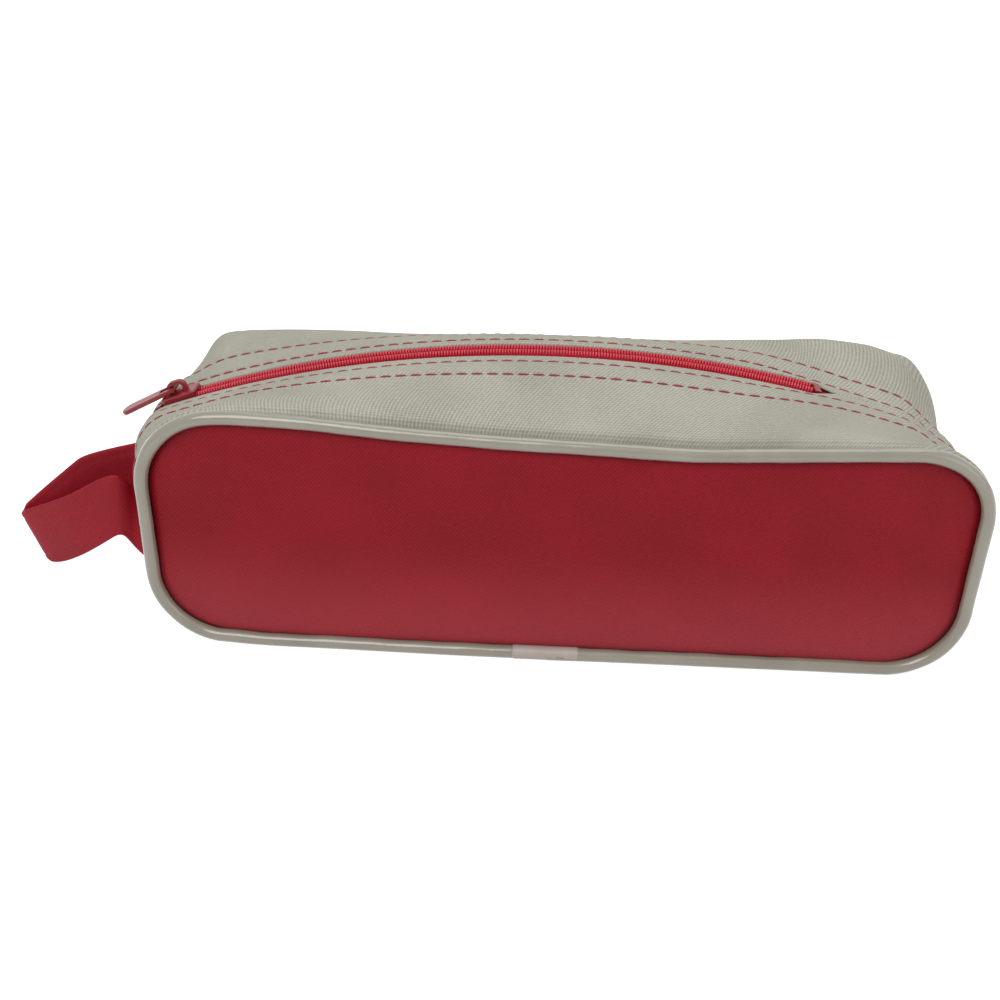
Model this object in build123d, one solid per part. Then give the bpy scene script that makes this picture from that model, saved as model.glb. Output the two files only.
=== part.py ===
from build123d import *
import os
from math import asin, cos, degrees, radians, sin, sqrt

# A soft zip case for a set of game tiles: two stiff canvas panels, a gusset that runs round between
# them, piping in both seams, a zip over the top and a strap loop on the left end.
# X runs along the case, Y from the front to the back, Z up. The origin is the middle of the base.

# The case
CASE_LENGTH = 250.0         # between the centre lines of the piping
CASE_DEPTH = 72.0           # between the planes of the two piping rings
CASE_HEIGHT = 74.0          # between the centre lines of the piping
CORNER_RADIUS = 22.0        # of the piping's centre line
CREST_RISE = 11.5           # of the canvas at mid-length and mid-depth, above the seams
CREST_RADIUS = 350.0        # the zip's line over the top is one arc
END_BULGE = 8.0             # how far the ends swell beyond the seams at mid-depth
SHOULDER_RADIUS = 16.0      # where the crest turns down into an end, at mid-depth

# The top strips swell between the zip and the seams, most of all towards their ends
SWELL_INSET = 9.0           # from a seam to the fullest line of a strip
SWELL_RISE = 5.6            # of that line at mid-length, above the seams
SWELL_RADIUS = 2400.0       # that line is almost straight along the case
SWELL_SHOULDER = 22.0       # where it turns down into an end
HEM_Y = 8.0                 # nearer the zip than this, a strip lies on its tape
HEM_PROUD = 0.3

# Cloth and piping
CANVAS = 1.2
PIPING_RADIUS = 2.0
SPLICE_LENGTH = 21.0        # where the two ends of a piping cord are joined
SPLICE_X = -0.5
CROSS_SEAM_DROP = 35.5      # from the crest to the seam where a top strip meets the gusset
BASE_TRIM = 0.5             # pressed off the underside so that it lies flat
SEWN = 0.05                 # between cloth edges that a seam holds together

# The mouth: the part of the two top strips that folds out once the zip is run down
MOUTH_MARGIN = 2.0          # from the mouth to the slider at either end of its run
MOUTH_CUT = 0.5             # between the mouth and the strip beside it
FOLD_INSET = 0.75           # from the gusset's edge to the line that a strip folds on
FOLD_CLEARANCE = 0.8        # from that line to the strip

# The zip
ZIP_SLOT = 9.2              # between the folded edges of the two strips
ZIP_END_INSET = 54.0        # from the right end of the case to the end of the full slot
SLOT_TAPER = 7.0            # from there to where the two edges meet
EDGE_GAP = 0.3              # between the edges beyond that
TAPE_WIDTH = 10.3           # of each tape
TAPE = 0.6
TAPE_UNDER = 0.1            # between canvas and tape
CHAIN_GAP = 1.4             # between the two rows of teeth
CHAIN_WIDTH = 5.8
TOOTH_HEIGHT = 2.0          # above the tape
TOOTH_LENGTH = 1.1
TOOTH_PITCH = 2.2
TOOTH_SLOPE = 0.2           # each end of a tooth leans in by this much
CORD_HEIGHT = 0.8           # the cord that joins the feet of the teeth
COIL_END = 3.0              # the rows run this far past the closed slider's middle
STOP_LENGTH = 2.2
STOP_EDGE = 0.5
STOP_CLEARANCE = 0.5        # between the slider and a stop

# The slider, in its own frame: X along the zip, Z away from the case, Z = 0 on the canvas
SLIDER_INSET = 14.0         # from the left end of the case to the closed slider's middle
SLIDER_LENGTH = 12.0
SLIDER_WIDTH = 8.4
SLIDER_TAIL_WIDTH = 7.4
SLIDER_PLATE = 1.2
SLIDER_CLEARANCE = 0.35     # between the slider and what runs through it
SLIDER_CORNER = 1.4
SLIDER_EDGE = 0.4
WEDGE_WIDTH = 0.8
WEDGE_LENGTH = 2.6
CROWN_WIDTH = 1.8
CROWN_WALL = 1.1
EYE_RADIUS = 1.1            # half the height of the crown's slot
EYE_LENGTH = 2.0
EYE_X = -1.4                # the pull turns here
PULL_LENGTH = 20.0
PULL_WIDTH = 5.4
PULL_TIP_WIDTH = 6.2
PULL_TIP_RADIUS = 2.8
PULL_THICKNESS = 1.4
PULL_EDGE = 0.35
PULL_BAR_RADIUS = 0.75
PULL_HOLE = 5.2             # from the turning line to the end of the pull's hole
PULL_TILT = 8.0             # the pull hangs this far below the slider's own slope

# The strap
STRAP_WIDTH = 20.0
STRAP_CLOTH = 1.3
STRAP_LENGTH = 41.0
STRAP_LOOP_RADIUS = 8.6
STRAP_DROOP = 35.0
STRAP_REACH = 9.0           # from the end of the case to the line that the loop swings on
STRAP_DROP = 12.5           # from the cross seam to the middle of that line
STRAP_CLEARANCE = 0.3
STRAP_SEWN = 1.95           # the plies are held together this far past that line
STRAP_CREASE = 0.16         # radius inside the fold where they part
FACING = 0.85
FACING_LOW = 16.0

# Inside
BINDING = 1.0
BINDING_WIDTH = 3.5
BINDING_UNDER = 0.3         # between the binding and the canvas above it

SPAN = 400.0                # longer than the case every way, for cutting
half_length = CASE_LENGTH / 2
half_depth = CASE_DEPTH / 2
seam_y = half_depth - PIPING_RADIUS - SEWN
piping_top = PIPING_RADIUS + CASE_HEIGHT
seam_top = piping_top + PIPING_RADIUS
wall_x = half_length + PIPING_RADIUS + END_BULGE
crest_height = seam_top + CREST_RISE
crest_centre = crest_height - CREST_RADIUS
cross_seam = crest_height - CROSS_SEAM_DROP
zip_end = wall_x - ZIP_END_INSET
slot_closed = zip_end + SLOT_TAPER
slider_rest_x = SLIDER_INSET - wall_x
slider_open_x = zip_end - STOP_LENGTH - STOP_CLEARANCE - SLIDER_LENGTH / 2
mouth_left = slider_rest_x + EYE_X + PULL_LENGTH + MOUTH_MARGIN
mouth_right = slider_open_x - SLIDER_LENGTH / 2 - MOUTH_MARGIN
strap_turn_x = -wall_x - STRAP_REACH
strap_turn_z = cross_seam - STRAP_DROP
fold_y = seam_y - FOLD_INSET
tape_top = CANVAS + TAPE_UNDER
coil_height = SEWN - tape_top
half_gap = CHAIN_GAP / 2
half_chain = CHAIN_WIDTH / 2
half_slot = ZIP_SLOT / 2


def block(x0, x1, y0, y1, z0, z1):
    """A box given by its two faces along each axis."""
    centre = Pos((x0 + x1) / 2, (y0 + y1) / 2, (z0 + z1) / 2)
    return centre * Box(x1 - x0, y1 - y0, z1 - z0)


def arc_point(x, z, radius, angle, y=0.0):
    return (x + radius * cos(radians(angle)), y, z + radius * sin(radians(angle)))


def arc(x, z, radius, start, end, y=0.0):
    """An arc in a plane across Y, its angles counted from +X towards +Z."""
    angles = (start, (start + end) / 2, end)
    return ThreePointArc(*[arc_point(x, z, radius, angle, y) for angle in angles])


def shoulder_centre_z():
    """Height of the centre that makes the shoulder tangent to the crest."""
    reach = CREST_RADIUS - SHOULDER_RADIUS
    return crest_centre + sqrt(reach ** 2 - (wall_x - SHOULDER_RADIUS) ** 2)


def ring(y, half, low, corner, shoulder, shoulder_z, crest_edge, lean):
    """A closed outline of the case across Y, from the crest round to the left."""
    shoulder_x = half - shoulder
    corner_x = half - corner
    corner_z = low + corner
    edges = [
        crest_edge,
        arc(-shoulder_x, shoulder_z, shoulder, 90 + lean, 180, y),
        Line((-half, y, shoulder_z), (-half, y, corner_z)),
        arc(-corner_x, corner_z, corner, 180, 270, y),
        Line((-corner_x, y, low), (corner_x, y, low)),
        arc(corner_x, corner_z, corner, 270, 360, y),
        Line((half, y, corner_z), (half, y, shoulder_z)),
        arc(shoulder_x, shoulder_z, shoulder, 0, 90 - lean, y),
    ]
    return Wire(edges)


def seam_outline(y, inset, low):
    """The gusset's outline in a seam, level with the outside of the piping."""
    half = half_length + PIPING_RADIUS - inset
    corner = CORNER_RADIUS + PIPING_RADIUS - inset
    top = seam_top - inset
    crest = Line((half - corner, y, top), (corner - half, y, top))
    return ring(y, half, low, corner, corner, top - corner, crest, 0)


def fullness(y):
    """How full the case is at some depth: 1 in the middle, 0 at a seam."""
    return 1 - (y / seam_y) ** 2


def arched_outline(y, rise, crest_radius, shoulder_radius, inset, low):
    """The outline at some depth, where an arched crest runs smoothly into two shoulders."""
    wall = half_length + PIPING_RADIUS + END_BULGE * fullness(y)
    corner = CORNER_RADIUS + PIPING_RADIUS - inset
    centre = seam_top + rise - crest_radius
    reach = crest_radius - shoulder_radius
    lean = degrees(asin((wall - shoulder_radius) / reach))
    shoulder_z = centre + reach * cos(radians(lean))
    crest = arc(0, centre, crest_radius - inset, 90 - lean, 90 + lean, y)
    return ring(y, wall - inset, low, corner, shoulder_radius - inset, shoulder_z, crest, lean)


def middle_outline(inset, low):
    """The gusset's outline at mid-depth, with the arched crest that carries the zip."""
    return arched_outline(0, CREST_RISE, CREST_RADIUS, SHOULDER_RADIUS, inset, low)


def case_form(inset, low=None):
    """The space inside the gusset's outer face, drawn in by an inset."""
    base = inset if low is None else low
    seams = [seam_outline(y, inset, base) for y in (-seam_y, seam_y)]
    return Solid.make_loft([seams[0], middle_outline(inset, base), seams[1]])


def cloth_layer(outer, inner):
    """A skin of the gusset between two insets."""
    return case_form(outer) - case_form(inner)


def canvas_gusset():
    skin = case_form(0, -BASE_TRIM) - case_form(CANVAS)
    return skin & block(-SPAN, SPAN, -SPAN, SPAN, 0, SPAN)


def strip_form(inset):
    """The space under the front strip, which swells between its hem and the seam."""
    share = fullness(HEM_Y)
    hem = arched_outline(-HEM_Y, CREST_RISE * share + HEM_PROUD, CREST_RADIUS / share, SHOULDER_RADIUS, inset, inset)
    swell_y = seam_y - SWELL_INSET
    swell = arched_outline(-swell_y, SWELL_RISE, SWELL_RADIUS, SWELL_SHOULDER, inset, inset)
    return Solid.make_loft([seam_outline(-seam_y, inset, inset), swell, hem, middle_outline(inset, inset)])


def slot_cutter():
    """The opening for the zip: a full slot that narrows to a butted edge at its right end."""
    half_edge = EDGE_GAP / 2
    outline = Polyline(
        (-SPAN, -half_slot), (zip_end, -half_slot), (slot_closed, -half_edge), (SPAN, -half_edge),
        (SPAN, half_edge), (slot_closed, half_edge), (zip_end, half_slot), (-SPAN, half_slot), close=True,
    )
    return extrude(make_face(outline), SPAN)


def mouth_window():
    return block(mouth_left, mouth_right, FOLD_CLEARANCE - fold_y, 0, cross_seam, SPAN)


def beside_mouth():
    """All that lies left or right of the mouth, clear of its ends."""
    left = block(-SPAN, mouth_left - MOUTH_CUT, -SPAN, SPAN, 0, SPAN)
    right = block(mouth_right + MOUTH_CUT, SPAN, -SPAN, SPAN, 0, SPAN)
    return left + right


def make_panel():
    """A flat panel whose edge meets the inside of the piping."""
    rim = PIPING_RADIUS + SEWN
    outline = RectangleRounded(CASE_LENGTH - 2 * rim, CASE_HEIGHT - 2 * rim, CORNER_RADIUS - rim)
    sheet = extrude(Plane.XZ * outline, CANVAS / 2, both=True)
    return Pos(0, -half_depth, PIPING_RADIUS + CASE_HEIGHT / 2) * sheet


def make_piping():
    """One cord laid round the seam, open where its ends are joined."""
    start = SPLICE_X + SPLICE_LENGTH / 2
    end = SPLICE_X - SPLICE_LENGTH / 2
    corners = [
        (start, -half_depth, PIPING_RADIUS), (half_length, -half_depth, PIPING_RADIUS),
        (half_length, -half_depth, piping_top), (-half_length, -half_depth, piping_top),
        (-half_length, -half_depth, PIPING_RADIUS), (end, -half_depth, PIPING_RADIUS),
    ]
    route = FilletPolyline(*corners, radius=CORNER_RADIUS)
    return sweep(Plane(corners[0], z_dir=(1, 0, 0)) * Circle(PIPING_RADIUS), path=route)


def make_splice():
    """The short overlap that closes the piping ring."""
    tube = Rot(0, 90, 0) * Cylinder(PIPING_RADIUS, SPLICE_LENGTH)
    return Pos(SPLICE_X, -half_depth, PIPING_RADIUS) * tube


def make_binding():
    """The tape that binds the raw edges of a seam, inside the case."""
    inset = CANVAS + BINDING_UNDER
    skin = cloth_layer(inset, inset + BINDING)
    return skin & block(-SPAN, SPAN, -seam_y, BINDING_WIDTH - seam_y, 0, SPAN)


def make_facing():
    """The red patch over the left end, which the strap is sewn to."""
    skin = case_form(-FACING) - case_form(0, -BASE_TRIM)
    return skin & block(-SPAN, -half_length + CORNER_RADIUS, -SPAN, SPAN, FACING_LOW, cross_seam - SEWN)


def tape_skin():
    """Both tapes, under the canvas, with the gap that parts them."""
    skin = cloth_layer(tape_top, tape_top + TAPE)
    reach = half_gap + TAPE_WIDTH
    band = block(-SPAN, zip_end + STOP_LENGTH, -reach, -half_gap, cross_seam, SPAN)
    return skin & band


def on_track(x, height=0.0):
    """Place on the zip's arc: X along the zip, Z away from the case."""
    angle = degrees(asin(x / CREST_RADIUS))
    return Pos(0, 0, crest_centre) * Rot(0, angle, 0) * Pos(0, 0, CREST_RADIUS + height)


def along_track(distance, height):
    """A point given by its distance along the zip's arc and its height above it."""
    angle = distance / CREST_RADIUS
    radius = CREST_RADIUS + height
    return (radius * sin(angle), 0, crest_centre + radius * cos(angle))


def make_coil(x0, x1):
    """A row of teeth on a low cord, along the front tape."""
    begin = CREST_RADIUS * asin(x0 / CREST_RADIUS)
    end = CREST_RADIUS * asin(x1 / CREST_RADIUS)
    count = int((end - begin) / TOOTH_PITCH)
    first = begin + (end - begin - (count - 1) * TOOTH_PITCH) / 2
    cord_top = coil_height + CORD_HEIGHT
    tooth_top = coil_height + TOOTH_HEIGHT
    foot = TOOTH_LENGTH / 2
    tip = foot - TOOTH_SLOPE
    points = [along_track(begin, coil_height), along_track(begin, cord_top)]
    for middle in [first + i * TOOTH_PITCH for i in range(count)]:
        points += [along_track(middle - foot, cord_top), along_track(middle - tip, tooth_top)]
        points += [along_track(middle + tip, tooth_top), along_track(middle + foot, cord_top)]
    points += [along_track(end, cord_top), along_track(end, coil_height)]
    under = ThreePointArc(points[-1], along_track((begin + end) / 2, coil_height), points[0])
    comb = make_face([Polyline(*points), under])
    return Pos(0, -half_chain, 0) * extrude(comb, half_chain - half_gap, dir=(0, 1, 0))


def make_top_stop():
    """A crimped stop on the front tape, just past the closed slider, on the shoulder."""
    nose = SLIDER_LENGTH / 2 + STOP_CLEARANCE
    shoulder_x = SHOULDER_RADIUS - wall_x
    angle = degrees(asin((shoulder_x - slider_rest_x + nose) / SHOULDER_RADIUS))
    stop = block(-STOP_LENGTH, 0, -half_chain, -half_gap, 0, TOOTH_HEIGHT)
    place = Pos(shoulder_x, 0, shoulder_centre_z()) * Rot(0, -angle, 0)
    return place * Pos(0, 0, SHOULDER_RADIUS - tape_top + SEWN) * stop


def make_bottom_stop():
    """The crimped bar that joins the two rows where the zip ends."""
    bar = block(-STOP_LENGTH / 2, STOP_LENGTH / 2, -half_chain, half_chain, SEWN, TOOTH_HEIGHT + SEWN)
    bar = fillet(bar.edges().filter_by(Axis.Y), STOP_EDGE)
    return on_track(zip_end - STOP_LENGTH / 2, -tape_top) * bar


plate_under = -tape_top - TAPE - SLIDER_CLEARANCE
channel_top = TOOTH_HEIGHT - tape_top + SLIDER_CLEARANCE
plate_top = channel_top + SLIDER_PLATE
eye_z = plate_top + EYE_RADIUS + CROWN_WALL / 2


def make_slider_body():
    """Two plates joined by side flanges and a wedge, open where the tapes run through."""
    nose = -SLIDER_LENGTH / 2
    outline = Polyline(
        (nose, -SLIDER_WIDTH / 2), (0, -SLIDER_WIDTH / 2), (-nose, -SLIDER_TAIL_WIDTH / 2),
        (-nose, SLIDER_TAIL_WIDTH / 2), (0, SLIDER_WIDTH / 2), (nose, SLIDER_WIDTH / 2), close=True,
    )
    face = make_face(outline)
    corners = face.vertices().filter_by(lambda v: abs(v.X) > SLIDER_LENGTH / 4)
    low = plate_under - SLIDER_PLATE
    solid = Pos(0, 0, low) * extrude(fillet(corners, SLIDER_CORNER), plate_top - low)
    solid = chamfer(solid.faces().sort_by(Axis.Z)[-1].edges(), SLIDER_EDGE)
    inside = half_chain + SLIDER_CLEARANCE
    channel = block(-SPAN, SPAN, -inside, inside, plate_under, channel_top)
    slits = block(-SPAN, SPAN, -SPAN, SPAN, plate_under, SLIDER_CLEARANCE - tape_top)
    wedge = block(nose + SLIDER_CORNER, nose + SLIDER_CORNER + WEDGE_LENGTH, -WEDGE_WIDTH / 2, WEDGE_WIDTH / 2,
                  low + SLIDER_PLATE / 2, plate_top - SLIDER_PLATE / 2)
    return solid - channel - slits + wedge


def make_slider_crown():
    """The bridge on top of the slider, with the slot that holds the pull."""
    outer = EYE_RADIUS + CROWN_WALL
    far_x = EYE_X + EYE_LENGTH
    arch = make_hull([*(Pos(EYE_X, eye_z) * Circle(outer)).edges(), *(Pos(far_x, eye_z) * Circle(outer)).edges()])
    legs = Pos((EYE_X + far_x) / 2, (plate_top + eye_z) / 2) * Rectangle(EYE_LENGTH + 2 * outer, eye_z - plate_top)
    under = Pos(0, plate_top - outer) * Rectangle(SPAN, 2 * outer)
    slot = make_hull([*(Pos(EYE_X, eye_z) * Circle(EYE_RADIUS)).edges(),
                      *(Pos(far_x, eye_z) * Circle(EYE_RADIUS)).edges()])
    return extrude(Plane.XZ * (arch + legs - under - slot), CROWN_WIDTH / 2, both=True)


def make_pull():
    """A narrow tab with a bar across its eye; the bar sits in the crown's slot."""
    blade = make_face(Polyline(
        (0, -PULL_WIDTH / 2), (-PULL_LENGTH, -PULL_TIP_WIDTH / 2), (-PULL_LENGTH, PULL_TIP_WIDTH / 2),
        (0, PULL_WIDTH / 2), close=True,
    ))
    tip = blade.vertices().filter_by(lambda v: v.X < -PULL_LENGTH / 2)
    hole_width = CROWN_WIDTH + 2 * SLIDER_CLEARANCE
    hole = Pos(-PULL_HOLE / 2, 0) * Rectangle(PULL_HOLE, hole_width)
    tab = extrude(fillet(tip, PULL_TIP_RADIUS) - hole, PULL_THICKNESS / 2, both=True)
    tab = fillet(tab.faces().sort_by(Axis.X)[0].edges().filter_by(Axis.Y), PULL_EDGE)
    bar = Rot(90, 0, 0) * Cylinder(PULL_BAR_RADIUS, PULL_WIDTH)
    return tab + bar


def strap_shape(radius_root, radius_loop, start):
    """The outline of the loop seen along its width: two plies that part towards a round fold."""
    root = Pos(-start, 0) * Circle(radius_root)
    fold = Pos(STRAP_LOOP_RADIUS - STRAP_LENGTH, 0) * Circle(radius_loop)
    return make_hull([*root.edges(), *fold.edges()])


def strap_place():
    return Pos(strap_turn_x, 0, strap_turn_z) * Rot(0, -STRAP_DROOP, 0)


def make_strap():
    """A band of doubled canvas, folded into a loop and swinging on the seam at its root."""
    outer = strap_shape(STRAP_CLOTH, STRAP_LOOP_RADIUS, 0)
    inner = strap_shape(STRAP_CREASE, STRAP_LOOP_RADIUS - STRAP_CLOTH, STRAP_SEWN)
    return strap_place() * extrude(outer - inner, STRAP_WIDTH / 2, both=True)


def make_strap_root():
    """The sewn ends of the band, between the end of the case and the line the loop swings on."""
    stub = block(0, SPAN, -STRAP_CLOTH, STRAP_CLOTH, -STRAP_WIDTH / 2, STRAP_WIDTH / 2)
    stub = strap_place() * Pos(STRAP_CLOTH + STRAP_CLEARANCE, 0, 0) * stub
    return stub & block(-SPAN, -wall_x - FACING - 2 * SEWN, -SPAN, SPAN, 0, cross_seam)


def mirrored(shape):
    """The back piece that matches a front one."""
    return mirror(shape, Plane.XZ)


def front_and_back(name, shape):
    return {"front_" + name: shape, "back_" + name: mirrored(shape)}


def strip_pieces():
    """The two canvas strips beside the zip, parted at the mouth."""
    strip = (strip_form(0) - strip_form(CANVAS)) & block(-SPAN, SPAN, -SPAN, 0, cross_seam + SEWN, SPAN)
    front = strip - slot_cutter()
    pieces = front_and_back("strip_ends", front & beside_mouth())
    pieces.update(front_and_back("strip_lip", front & mouth_window()))
    return pieces


def tape_pieces():
    tape = tape_skin()
    pieces = front_and_back("zip_tape_ends", tape & beside_mouth())
    pieces.update(front_and_back("zip_tape", tape & mouth_window()))
    return pieces


def coil_pieces():
    left = make_coil(slider_rest_x - COIL_END, mouth_left - MOUTH_CUT)
    right = make_coil(mouth_right + MOUTH_CUT, zip_end - STOP_LENGTH - STOP_CLEARANCE)
    pieces = front_and_back("zip_coil_ends", Compound([left, right]))
    pieces.update(front_and_back("zip_coil", make_coil(mouth_left, mouth_right)))
    return pieces


def slider_pieces():
    place = on_track(slider_rest_x)
    pull_place = place * Pos(EYE_X, 0, eye_z) * Rot(0, -PULL_TILT, 0)
    return {
        "slider_body": place * make_slider_body(),
        "slider_crown": place * make_slider_crown(),
        "slider_pull": pull_place * make_pull(),
    }


def all_pieces():
    pieces = {}
    pieces.update(front_and_back("panel", make_panel()))
    pieces.update(front_and_back("piping", make_piping()))
    pieces.update(front_and_back("piping_splice", make_splice()))
    pieces.update(front_and_back("seam_binding", make_binding()))
    pieces["base_gusset"] = canvas_gusset() & block(-SPAN, SPAN, -SPAN, SPAN, 0, cross_seam)
    pieces.update(strip_pieces())
    pieces.update(tape_pieces())
    pieces.update(coil_pieces())
    pieces["zip_top_stops"] = Compound([make_top_stop(), mirrored(make_top_stop())])
    pieces["zip_bottom_stop"] = make_bottom_stop()
    pieces.update(slider_pieces())
    pieces["end_facing"] = make_facing()
    pieces["strap_root"] = make_strap_root()
    pieces["strap_loop"] = make_strap()
    return pieces


os.makedirs("parts", exist_ok=True)
for name, shape in all_pieces().items():
    export_step(shape, f"parts/{name}.step")
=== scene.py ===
from math import asin, degrees, pi

import bmesh
import bpy
import numpy as np
from mathutils import Matrix, Vector


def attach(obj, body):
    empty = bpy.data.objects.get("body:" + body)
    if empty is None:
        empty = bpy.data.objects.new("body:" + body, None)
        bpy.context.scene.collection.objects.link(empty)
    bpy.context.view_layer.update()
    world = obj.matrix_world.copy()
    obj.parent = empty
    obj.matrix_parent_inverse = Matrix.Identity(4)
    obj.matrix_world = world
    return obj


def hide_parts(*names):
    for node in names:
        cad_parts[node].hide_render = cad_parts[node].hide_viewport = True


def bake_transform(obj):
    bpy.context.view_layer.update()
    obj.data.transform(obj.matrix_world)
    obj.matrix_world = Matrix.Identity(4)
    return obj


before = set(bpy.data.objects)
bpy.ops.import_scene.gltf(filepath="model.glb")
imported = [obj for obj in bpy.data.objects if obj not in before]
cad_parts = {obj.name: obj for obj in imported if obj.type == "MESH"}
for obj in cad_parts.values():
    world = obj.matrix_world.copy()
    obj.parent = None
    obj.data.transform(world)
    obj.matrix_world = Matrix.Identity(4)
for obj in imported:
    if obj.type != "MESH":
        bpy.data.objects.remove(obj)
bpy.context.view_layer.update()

# ---- Camera: a little above the table, looking down at the front panel, turned slightly to the
# left end, with a short telephoto lens. It stands where the photograph was taken from.
scene = bpy.context.scene
scene.view_settings.view_transform = "Standard"
camera = bpy.data.objects.new("camera", bpy.data.cameras.new("camera"))
camera.data.sensor_width = 36.0
camera.data.lens = 44.45
camera_right = Vector((0.99792, 0.06137, 0.01996))
camera_up = Vector((-0.04773, 0.49390, 0.86821))
camera_back = Vector((0.04342, -0.86735, 0.49580))
camera.matrix_world = Matrix.Translation((-0.0001, -0.3560, 0.2388)) @ Matrix(
    (camera_right, camera_up, camera_back)
).transposed().to_4x4()
scene.collection.objects.link(camera)
scene.camera = camera


def add_node(tree, kind, inputs=None, **settings):
    """A node with its settings, its plain values and its links."""
    made = tree.nodes.new(kind)
    for key, value in settings.items():
        setattr(made, key, value)
    for key, value in (inputs or {}).items():
        if isinstance(value, bpy.types.NodeSocket):
            tree.links.new(value, made.inputs[key])
        else:
            made.inputs[key].default_value = value
    return made


def linear(code):
    """A colour written as sRGB hex, as the linear colour that shaders take."""
    channels = [int(code[i:i + 2], 16) / 255 for i in (0, 2, 4)]
    return [c / 12.92 if c <= 0.04045 else ((c + 0.055) / 1.055) ** 2.4 for c in channels] + [1.0]


# ---- Studio: three large soft lamps and a pale room round them. The camera alone sees the room
# and the floor as white.
def add_lamp(name, place, target, width, power):
    lamp = bpy.data.objects.new(name, bpy.data.lights.new(name, "AREA"))
    lamp.data.shape = "RECTANGLE"
    lamp.data.size = lamp.data.size_y = width
    lamp.data.energy = power
    lamp.location = place
    lamp.rotation_euler = (Vector(target) - Vector(place)).to_track_quat("-Z", "Y").to_euler()
    scene.collection.objects.link(lamp)


def seen_directly(tree):
    """1 where the camera, a reflection or a clear body looks at a thing, and 0 where it only lights."""
    ray = add_node(tree, "ShaderNodeLightPath")
    mirrored = add_node(tree, "ShaderNodeMath", {
        0: ray.outputs["Is Glossy Ray"], 1: ray.outputs["Is Transmission Ray"]}, operation="MAXIMUM")
    seen = add_node(tree, "ShaderNodeMath", {
        0: ray.outputs["Is Camera Ray"], 1: mirrored.outputs[0]}, operation="MAXIMUM")
    return seen.outputs[0]


add_lamp("key_softbox", (-0.35, -0.75, 0.95), (0, 0, 0.04), 0.7, 6.6)
add_lamp("fill_softbox", (0.95, -0.6, 0.5), (0, 0, 0.04), 0.8, 2.2)
add_lamp("top_softbox", (0.15, 0.35, 1.05), (0, 0, 0.05), 0.8, 3.6)

world = bpy.data.worlds.new("studio_room")
world.use_nodes = True
world.node_tree.nodes.clear()
room_grey = add_node(world.node_tree, "ShaderNodeBackground", {"Color": linear("f2f3f5"), "Strength": 0.36})
room_white = add_node(world.node_tree, "ShaderNodeBackground", {"Color": (1, 1, 1, 1), "Strength": 1.0})
room_mix = add_node(world.node_tree, "ShaderNodeMixShader", {
    0: seen_directly(world.node_tree), 1: room_grey.outputs[0], 2: room_white.outputs[0]})
add_node(world.node_tree, "ShaderNodeOutputWorld", {"Surface": room_mix.outputs[0]})
scene.world = world

floor_mesh = bpy.data.meshes.new("floor")
floor_mesh.from_pydata([(-6, -6, 0), (6, -6, 0), (6, 6, 0), (-6, 6, 0)], [], [(0, 1, 2, 3)])
floor = bpy.data.objects.new("floor", floor_mesh)
scene.collection.objects.link(floor)
floor_paper = bpy.data.materials.new("matte_paper")
floor_paper.use_nodes = True
floor_tree = floor_paper.node_tree
floor_tree.nodes.clear()
floor_matte = add_node(floor_tree, "ShaderNodeBsdfDiffuse", {"Color": linear("e9e9e9")})
floor_glow = add_node(floor_tree, "ShaderNodeEmission", {"Color": (1, 1, 1, 1), "Strength": 0.76})
floor_sum = add_node(floor_tree, "ShaderNodeAddShader", {0: floor_matte.outputs[0], 1: floor_glow.outputs[0]})
floor_mix = add_node(floor_tree, "ShaderNodeMixShader", {
    0: seen_directly(floor_tree), 1: floor_matte.outputs[0], 2: floor_sum.outputs[0]})
add_node(floor_tree, "ShaderNodeOutputMaterial", {"Surface": floor_mix.outputs[0]})
floor_mesh.materials.append(floor_paper)

# ---- Front and back panels: red polyester canvas over a stiff board, cut as a rounded rectangle
# and sewn in at its edge. It bows out a little and rolls under the piping at the rim.
HALF_LENGTH = 125.0
HALF_DEPTH = 36.0
PIPING_LOW = 2.0
PIPING_HIGH = 76.0
PIPING_CORNER = 22.0
PIPING_THICK = 2.0


def step(value, start, end):
    """0 before the start, 1 after the end, smooth between them."""
    t = np.clip((value - start) / (end - start), 0, 1)
    return t * t * (3 - 2 * t)


def measured(places, values, span=24):
    """A smooth run through measured values, looked up by the millimetre."""
    table = np.arange(-220, 221.0)
    window = np.hanning(span + 1)
    raw = np.pad(np.interp(table, places, values), span // 2, mode="edge")
    smooth = np.convolve(raw, window / window.sum(), mode="valid")
    return lambda place: np.interp(place, table, smooth)


front_sag = measured(
    [-127, -118, -97, -75, -46, -16, 13, 42, 70, 99, 115, 127],
    [0.2, 1.2, 3.2, 2.6, 0.3, -1.2, -1.6, -2.3, -0.6, 1.2, 1.8, 1.4])
back_sag = measured(
    [-127, -106, -80, -53, 0, 42, 76, 104, 127],
    [0.2, -1.8, -3.2, -3.9, -3.4, -2.4, -1.2, -0.8, 0.2])


base_bulge = measured([-127, -112, -90, -50, 0, 50, 100, 127], [0.2, 1.2, 3.0, 3.2, 2.6, 1.8, 1.6, 0.2])


def settle(points):
    """The seams aren't straight: those at the top sag and lift, and the base spreads at the front."""
    x, y, z = points.T
    lift = np.where(y < 0, front_sag(x), back_sag(x))
    moved = points.copy()
    moved[:, 2] += lift * step(np.abs(y), 8, 33) * step(z, 22, 74)
    moved[:, 1] += base_bulge(x) * np.where(y < 0, -1, 0.4) * step(np.abs(y), 20, 34) * (1 - step(z, 4, 34))
    moved[:, 0] += 2.4 * step(x, 84, 120) * (1 - step(z, 64, 86)) * step(-y, -10, 30)
    return moved


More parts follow.
